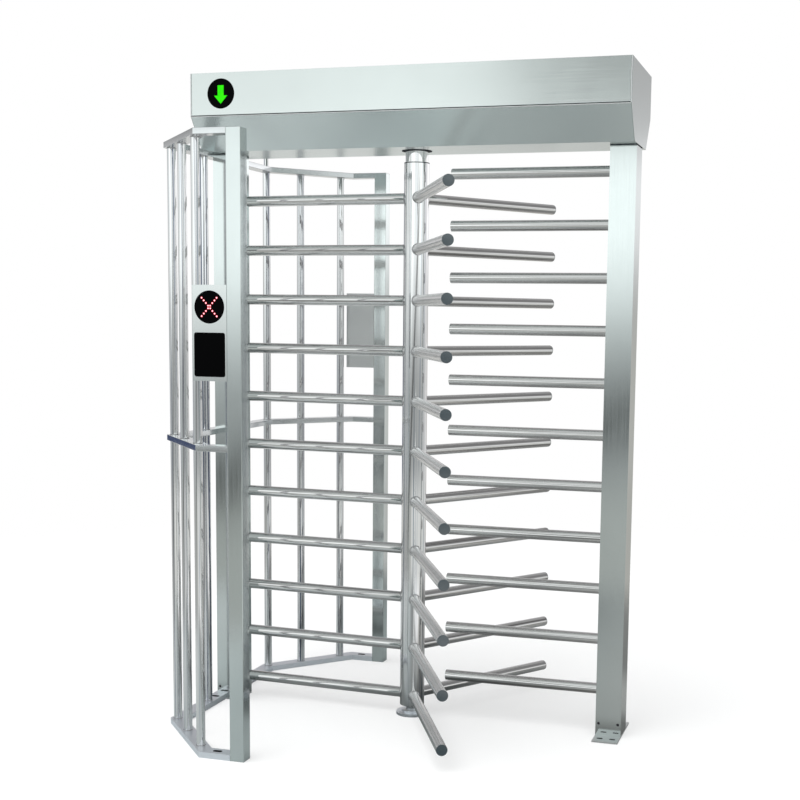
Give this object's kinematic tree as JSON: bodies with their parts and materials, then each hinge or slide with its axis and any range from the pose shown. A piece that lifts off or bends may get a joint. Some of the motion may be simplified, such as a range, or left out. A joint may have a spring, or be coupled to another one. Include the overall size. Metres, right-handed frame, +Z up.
{
  "type": "full height turnstile",
  "caption": "Full height one-lane turnstile: a rotor with three wings of tube arms turns between a fixed comb of bars and a half-octagon cage, under a header that holds the lock.",
  "frame": {"origin": "on the floor at the rotor's axis, at the centre of the floor plate's bolt circle", "axes": "+Z up along the rotor's axis, +X along the header towards the comb's post, +Y from the front to the back"},
  "size_m": [1.571, 1.4176, 2.3],
  "materials": {
    "satin_steel": "satin brushed stainless sheet",
    "hoop_steel": "brushed stainless flat bar",
    "polished_tube": "bright polished stainless tube",
    "zinc_plate": "zinc plated steel",
    "housing_iron": "painted casting",
    "machined_steel": "machined steel, lightly oiled",
    "floor_steel": "turned stainless disc",
    "bush_brass": "plain bronze bush",
    "cap_plastic": "dark moulded caps",
    "lens_black": "smoked black lens",
    "led_red": "lit red lamps",
    "led_green": "lit green arrow",
    "black_case": "black moulded case",
    "board_green": "circuit board"
  },
  "bodies": {
    "frame": {"header_tray": "satin_steel", "header_cover": "satin_steel", "header_end_plate_left": "satin_steel", "header_end_plate_right": "satin_steel", "header_rails": "zinc_plate", "cover_screws": "zinc_plate", "drive_plate": "zinc_plate", "bearing_housing": "housing_iron", "bearing_housing_bolts": "zinc_plate", "bearing_outer_ring": "machined_steel", "pawl_posts": "machined_steel", "pawl_springs": "machined_steel", "solenoid_bodies": "black_case", "damper_body": "black_case", "wheel_sensor": "black_case", "control_box": "satin_steel", "control_board": "board_green", "control_box_lid": "satin_steel", "right_post": "satin_steel", "right_post_foot": "satin_steel", "left_post": "satin_steel", "left_post_foot": "satin_steel", "post_foot_screws": "zinc_plate", "comb_bars": "polished_tube", "cage_post_front": "satin_steel", "cage_post_rear": "satin_steel", "hoop_bottom": "hoop_steel", "hoop_middle": "hoop_steel", "hoop_top": "hoop_steel", "cage_tubes_lower": "polished_tube", "cage_tubes_upper": "polished_tube", "cable_conduit": "polished_tube", "reader_housings": "satin_steel", "reader_panels": "satin_steel", "reader_windows": "lens_black", "stop_lenses": "lens_black", "stop_leds": "led_red", "card_readers": "black_case", "arrow_lenses": "lens_black", "arrow_lights": "led_green", "floor_plate": "floor_steel", "pivot_pin": "machined_steel"},
    "rotor": {"rotor_column": "polished_tube", "wing_a_arms": "polished_tube", "wing_b_arms": "polished_tube", "wing_c_arms": "polished_tube", "wing_a_caps": "cap_plastic", "wing_b_caps": "cap_plastic", "wing_c_caps": "cap_plastic", "rotor_shaft": "machined_steel", "ratchet_wheel": "machined_steel", "drive_gear": "machined_steel", "bearing_inner_ring": "machined_steel", "lower_bush": "bush_brass"},
    "damper_pinion": {"damper_pinion": "machined_steel"},
    "pawl_front": {"pawl_front": "machined_steel"},
    "pawl_rear": {"pawl_rear": "machined_steel"},
    "plunger_front": {"plunger_front": "machined_steel"},
    "plunger_rear": {"plunger_rear": "machined_steel"}
  },
  "joints": [
    {"name": "rotor_spin", "type": "hinge", "parent": "frame", "child": "rotor", "pos_m": [0, 0, 1], "axis": [0, 0, 1], "continuous": true},
    {"name": "damper_pinion_spin", "type": "hinge", "parent": "frame", "child": "damper_pinion", "pos_m": [-0.096, 0, 2.142], "axis": [0, 0, 1], "continuous": true},
    {"name": "pawl_front_swing", "type": "hinge", "parent": "frame", "child": "pawl_front", "pos_m": [0.08, -0.088, 2.162], "axis": [0, 0, -1], "range_deg": [0, 6], "stiffness_Nm_per_rad": 1.5},
    {"name": "pawl_rear_swing", "type": "hinge", "parent": "frame", "child": "pawl_rear", "pos_m": [0.08, 0.088, 2.162], "axis": [0, 0, 1], "range_deg": [0, 6], "stiffness_Nm_per_rad": 1.5},
    {"name": "plunger_front_slide", "type": "slide", "parent": "frame", "child": "plunger_front", "axis": [0, -1, 0], "range_m": [0, 0.0042]},
    {"name": "plunger_rear_slide", "type": "slide", "parent": "frame", "child": "plunger_rear", "axis": [0, 1, 0], "range_m": [0, 0.0042]}
  ],
  "couplings": [
    {"joint": "damper_pinion_spin", "follows": "rotor_spin", "ratio": -3},
    {"joint": "plunger_front_slide", "follows": "pawl_front_swing", "m_per_rad": 0.04},
    {"joint": "plunger_rear_slide", "follows": "pawl_rear_swing", "m_per_rad": 0.04}
  ]
}
